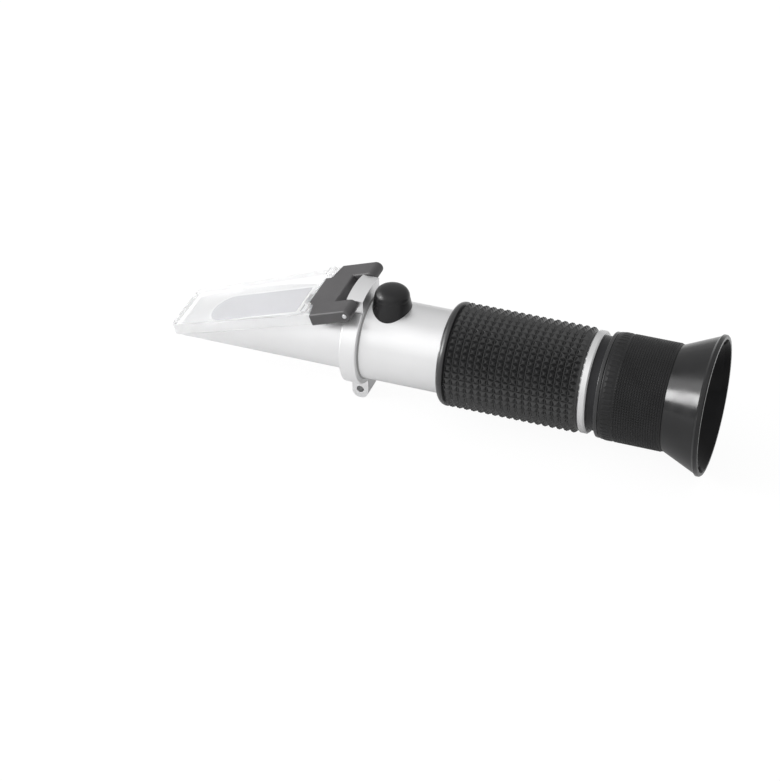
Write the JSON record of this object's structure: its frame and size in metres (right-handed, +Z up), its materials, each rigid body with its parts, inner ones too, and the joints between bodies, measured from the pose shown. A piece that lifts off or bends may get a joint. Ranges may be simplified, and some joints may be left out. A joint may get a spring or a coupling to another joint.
{
  "type": "handheld refractometer",
  "caption": "Handheld refractometer with an oblique measuring prism, hinged clear plate, temperature strip, calibration screw under a cap, studded grip, focusing eyepiece and rubber eyecup.",
  "frame": {"origin": "on the table, under the middle of the instrument's length, with the instrument lying on its strap lug and the rim of its eyecup", "axes": "+X along the optical axis from the prism end to the eye, +Y across, +Z up, with the plate on top"},
  "size_m": [0.16, 0.04, 0.04],
  "materials": {
    "satin_alloy": "fine satin, turned",
    "polished_ring": "satin bright",
    "prism_glass": "polished",
    "lens_glass": "polished",
    "sealant": "soft matte bead",
    "clear_plate": "clear moulded plastic",
    "black_moulding": "fine matte",
    "pin_steel": "plain",
    "black_rubber": "moulded, satin",
    "black_alloy": "black, matte",
    "ring_black": "glossy bead",
    "brass_turned": "turned",
    "strip_metal": "rolled"
  },
  "bodies": {
    "barrel": {"head_casting": "satin_alloy", "main_prism": "prism_glass", "prism_seal": "sealant", "hinge_collar": "satin_alloy", "barrel_tube": "satin_alloy", "screw_bush": "brass_turned", "bimetal_strip": "strip_metal", "strip_mount": "strip_metal", "strip_screws": "pin_steel", "light_stop": "black_alloy", "grip_sleeve": "black_rubber", "end_ring": "polished_ring", "eyepiece_tube": "black_alloy", "reticle": "lens_glass", "reticle_ring": "black_alloy", "guide_pin": "pin_steel"},
    "plate": {"daylight_plate": "clear_plate", "hinge_bracket": "black_moulding", "hinge_pin": "pin_steel"},
    "cap": {"calibration_cap": "black_rubber"},
    "screw": {"calibration_screw": "brass_turned"},
    "objective": {"lens_carrier": "black_alloy", "objective_lens": "lens_glass", "objective_ring": "black_alloy"},
    "eyepiece": {"lens_cell": "black_alloy", "field_lens": "lens_glass", "lens_spacer": "black_alloy", "eye_lens": "lens_glass", "eye_lens_ring": "black_alloy"},
    "focus_ring": {"focus_ring": "ring_black", "focus_band": "black_rubber", "eyecup": "black_rubber"}
  },
  "joints": [
    {"name": "plate_hinge", "type": "hinge", "parent": "barrel", "child": "plate", "pos_m": [-0.02392, 0, 0.03485], "axis": [0, 1, 0], "range_deg": [0, 120]},
    {"name": "cap_lift", "type": "slide", "parent": "barrel", "child": "cap", "axis": [0, 0, 1], "range_m": [0, 0.008]},
    {"name": "screw_turn", "type": "hinge", "parent": "barrel", "child": "screw", "pos_m": [-0.01452, 0, 0.0334], "axis": [0, 0, 1], "range_deg": [-190, 190]},
    {"name": "lens_shift", "type": "slide", "parent": "barrel", "child": "objective", "axis": [0, 0, 1], "range_m": [-0.0002, 0.0002]},
    {"name": "focus_travel", "type": "slide", "parent": "barrel", "child": "eyepiece", "axis": [1, 0, 0], "range_m": [-0.002, 0.002]},
    {"name": "focus_turn", "type": "hinge", "parent": "eyepiece", "child": "focus_ring", "pos_m": [0.05838, 0, 0.02], "axis": [1, 0, 0], "range_deg": [-190, 190]}
  ],
  "couplings": [
    {"joint": "focus_turn", "follows": "focus_travel", "rad_per_m": 1570.8},
    {"joint": "screw_turn", "follows": "lens_shift", "rad_per_m": 15708}
  ]
}
